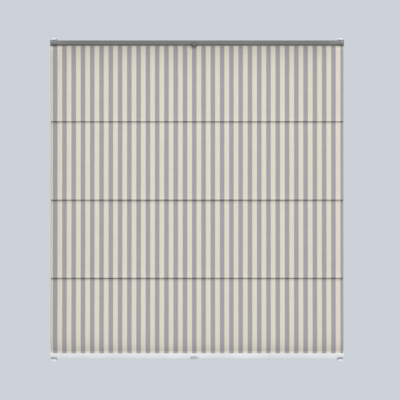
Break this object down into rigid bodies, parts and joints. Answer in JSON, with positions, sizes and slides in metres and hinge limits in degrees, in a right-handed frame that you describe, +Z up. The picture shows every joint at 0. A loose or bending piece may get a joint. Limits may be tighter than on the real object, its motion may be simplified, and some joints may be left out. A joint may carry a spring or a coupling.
{
  "type": "roman blind",
  "caption": "Striped roman blind clamped to a window sash, with a grey top rail and a white bottom rail that slide on tensioned guide cords.",
  "frame": {"origin": "middle of the sash's top edge, on the sash's front face", "axes": "+Z up, -Y to the room, which is the blind's front, +X to the right seen from the front"},
  "size_m": [1.18, 0.0633, 1.2974],
  "materials": {
    "cloth_grey": "woven matt",
    "cloth_cream": "woven matt",
    "rail_grey": "satin",
    "rail_white": "satin",
    "cap_grey": "moulded",
    "cap_white": "moulded",
    "bracket_white": "satin",
    "screw_steel": "zinc plated",
    "lock_brass": "turned",
    "cord_white": "braided",
    "brake_rubber": "matt",
    "pad_foam": "foam",
    "rod_white": "drawn fibre rod"
  },
  "bodies": {
    "root": {"bracket_top_left": "bracket_white", "bracket_top_right": "bracket_white", "bracket_bottom_left": "bracket_white", "bracket_bottom_right": "bracket_white", "pad_top_left": "pad_foam", "pad_top_right": "pad_foam", "pad_bottom_left": "pad_foam", "pad_bottom_right": "pad_foam", "clamp_screw_top_left": "screw_steel", "clamp_screw_top_right": "screw_steel", "clamp_screw_bottom_left": "screw_steel", "clamp_screw_bottom_right": "screw_steel", "tension_shoe_top_left": "cap_white", "tension_shoe_top_right": "cap_white", "tension_shoe_bottom_left": "cap_white", "tension_shoe_bottom_right": "cap_white", "cord_lock_top_left": "lock_brass", "cord_lock_top_right": "lock_brass", "cord_lock_bottom_left": "lock_brass", "cord_lock_bottom_right": "lock_brass", "tension_spring_left": "screw_steel", "tension_spring_right": "screw_steel", "guide_cord_left": "cord_white", "guide_cord_right": "cord_white"},
    "top_rail": {"top_rail": "rail_grey", "top_strip": "rod_white", "top_grip": "cap_grey", "top_cap_left": "cap_grey", "top_cap_right": "cap_grey", "top_brake_left": "brake_rubber", "top_brake_right": "brake_rubber", "cloth": "cloth_grey"},
    "bottom_rail": {"bottom_rail": "rail_white", "bottom_strip": "rod_white", "bottom_grip": "cap_white", "bottom_cap_left": "cap_white", "bottom_cap_right": "cap_white", "bottom_brake_left": "brake_rubber", "bottom_brake_right": "brake_rubber"},
    "batten_1": {"batten_1": "rod_white", "batten_1_guide_left": "cap_white", "batten_1_guide_right": "cap_white"},
    "batten_2": {"batten_2": "rod_white", "batten_2_guide_left": "cap_white", "batten_2_guide_right": "cap_white"},
    "batten_3": {"batten_3": "rod_white", "batten_3_guide_left": "cap_white", "batten_3_guide_right": "cap_white"}
  },
  "joints": [
    {"name": "top_rail_slide", "type": "slide", "parent": "root", "child": "top_rail", "axis": [0, 0, 1], "range_m": [-0.27, 0], "deforming": ["cloth"]},
    {"name": "bottom_rail_slide", "type": "slide", "parent": "root", "child": "bottom_rail", "axis": [0, 0, 1], "range_m": [0, 0.84], "deforming": ["cloth"]},
    {"name": "batten_1_slide", "type": "slide", "parent": "top_rail", "child": "batten_1", "axis": [0, 0, 1], "range_m": [0, 0.2748]},
    {"name": "batten_2_slide", "type": "slide", "parent": "top_rail", "child": "batten_2", "axis": [0, 0, 1], "range_m": [0, 0.5577]},
    {"name": "batten_3_slide", "type": "slide", "parent": "top_rail", "child": "batten_3", "axis": [0, 0, 1], "range_m": [0, 0.8405]}
  ],
  "couplings": [
    {"joint": "batten_1_slide", "follows": "bottom_rail_slide", "ratio": 0.32656},
    {"joint": "batten_2_slide", "follows": "bottom_rail_slide", "ratio": 0.66328},
    {"joint": "batten_3_slide", "follows": "bottom_rail_slide", "ratio": 1}
  ]
}
